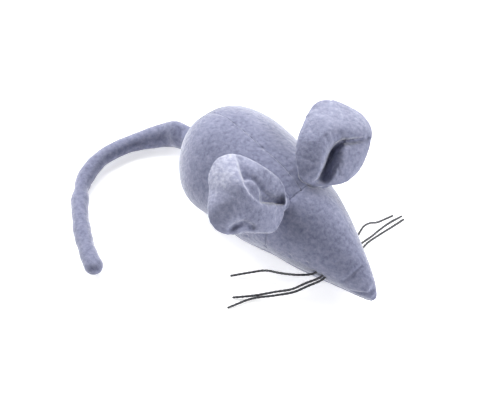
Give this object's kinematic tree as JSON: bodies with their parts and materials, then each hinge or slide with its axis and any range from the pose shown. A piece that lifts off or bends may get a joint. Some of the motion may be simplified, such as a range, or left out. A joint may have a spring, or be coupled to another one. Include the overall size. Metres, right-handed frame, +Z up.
{
  "type": "cat toy rat",
  "caption": "Stuffed plush rat for a cat to bat and carry: teardrop body with a cone head, cupped ears, thread whiskers, a curling tube tail and a catnip pocket in the belly.",
  "frame": {"origin": "on the flat belly, on the rat's middle line, under the widest part of its body", "axes": "+X towards the nose, +Y towards the rat's left, +Z up"},
  "size_m": [0.1854, 0.162, 0.0748],
  "materials": {
    "plush": "matte",
    "ear_plush": "matte",
    "fibre": "matte",
    "seam_thread": "matte",
    "cotton": "matte",
    "nylon": "matte",
    "waxed_cord": "satin"
  },
  "bodies": {
    "torso": {"back_panel_left": "plush", "back_panel_right": "plush", "head_panel": "plush", "belly_panel": "plush", "body_stuffing": "fibre", "head_stuffing": "fibre", "spine_seam_thread": "seam_thread", "neck_seam_thread": "seam_thread", "side_seam_thread_left": "seam_thread", "side_seam_thread_right": "seam_thread", "pocket_lining": "cotton", "flap_seam_thread": "seam_thread", "loop_strip": "nylon", "whisker_thread_upper": "waxed_cord", "whisker_thread_middle": "waxed_cord", "whisker_thread_lower": "waxed_cord"},
    "flap": {"pocket_flap": "plush", "hook_strip": "nylon"},
    "ear_left": {"ear_left_back": "plush", "ear_left_front": "ear_plush"},
    "ear_right": {"ear_right_back": "plush", "ear_right_front": "ear_plush"},
    "tail_base": {"tail_root": "plush"},
    "tail_1": {"tail_length_1": "plush"},
    "tail_2": {"tail_length_2": "plush"},
    "tail_3": {"tail_length_3": "plush"},
    "tail_4": {"tail_length_4": "plush"},
    "tail_5": {"tail_length_5": "plush"},
    "whiskers_right": {"whisker_right_upper": "waxed_cord", "whisker_right_middle": "waxed_cord", "whisker_right_lower": "waxed_cord"},
    "whiskers_left": {"whisker_left_upper": "waxed_cord", "whisker_left_middle": "waxed_cord", "whisker_left_lower": "waxed_cord"}
  },
  "joints": [
    {"name": "flap_hinge", "type": "hinge", "parent": "torso", "child": "flap", "pos_m": [0.0382, 0, 0], "axis": [0, -1, 0], "range_deg": [0, 120]},
    {"name": "ear_left_flop", "type": "hinge", "parent": "torso", "child": "ear_left", "pos_m": [0.044, 0.01917, 0.04471], "axis": [0, 0.6921, -0.7218], "range_deg": [-15, 15], "stiffness_Nm_per_rad": 0.04},
    {"name": "ear_right_flop", "type": "hinge", "parent": "torso", "child": "ear_right", "pos_m": [0.044, -0.01917, 0.04471], "axis": [0, 0.6921, 0.7218], "range_deg": [-15, 15], "stiffness_Nm_per_rad": 0.04},
    {"name": "tail_lift", "type": "hinge", "parent": "torso", "child": "tail_base", "pos_m": [-0.04865, 0.0005, 0.014], "axis": [0, 1, 0], "range_deg": [0, 45]},
    {"name": "tail_bend_1", "type": "hinge", "parent": "tail_base", "child": "tail_1", "pos_m": [-0.06522, -0.00379, 0.00703], "axis": [0, 0, 1], "range_deg": [-35, 15]},
    {"name": "tail_bend_2", "type": "hinge", "parent": "tail_1", "child": "tail_2", "pos_m": [-0.07766, -0.02785, 0.00493], "axis": [0, 0, 1], "range_deg": [-35, 15]},
    {"name": "tail_bend_3", "type": "hinge", "parent": "tail_2", "child": "tail_3", "pos_m": [-0.07627, -0.0551, 0.0049], "axis": [0, 0, 1], "range_deg": [-35, 15]},
    {"name": "tail_bend_4", "type": "hinge", "parent": "tail_3", "child": "tail_4", "pos_m": [-0.05895, -0.07635, 0.0049], "axis": [0, 0, 1], "range_deg": [-35, 15]},
    {"name": "tail_bend_5", "type": "hinge", "parent": "tail_4", "child": "tail_5", "pos_m": [-0.03658, -0.08998, 0.0049], "axis": [0, 0, 1], "range_deg": [-35, 15]},
    {"name": "whiskers_right_lift", "type": "hinge", "parent": "torso", "child": "whiskers_right", "pos_m": [0.0751, -0.01585, 0.0149], "axis": [-0.8542, -0.3591, 0.3761], "range_deg": [0, 35]},
    {"name": "whiskers_left_lift", "type": "hinge", "parent": "torso", "child": "whiskers_left", "pos_m": [0.07405, 0.0162, 0.01735], "axis": [0.8743, -0.3501, -0.3361], "range_deg": [0, 35]}
  ]
}
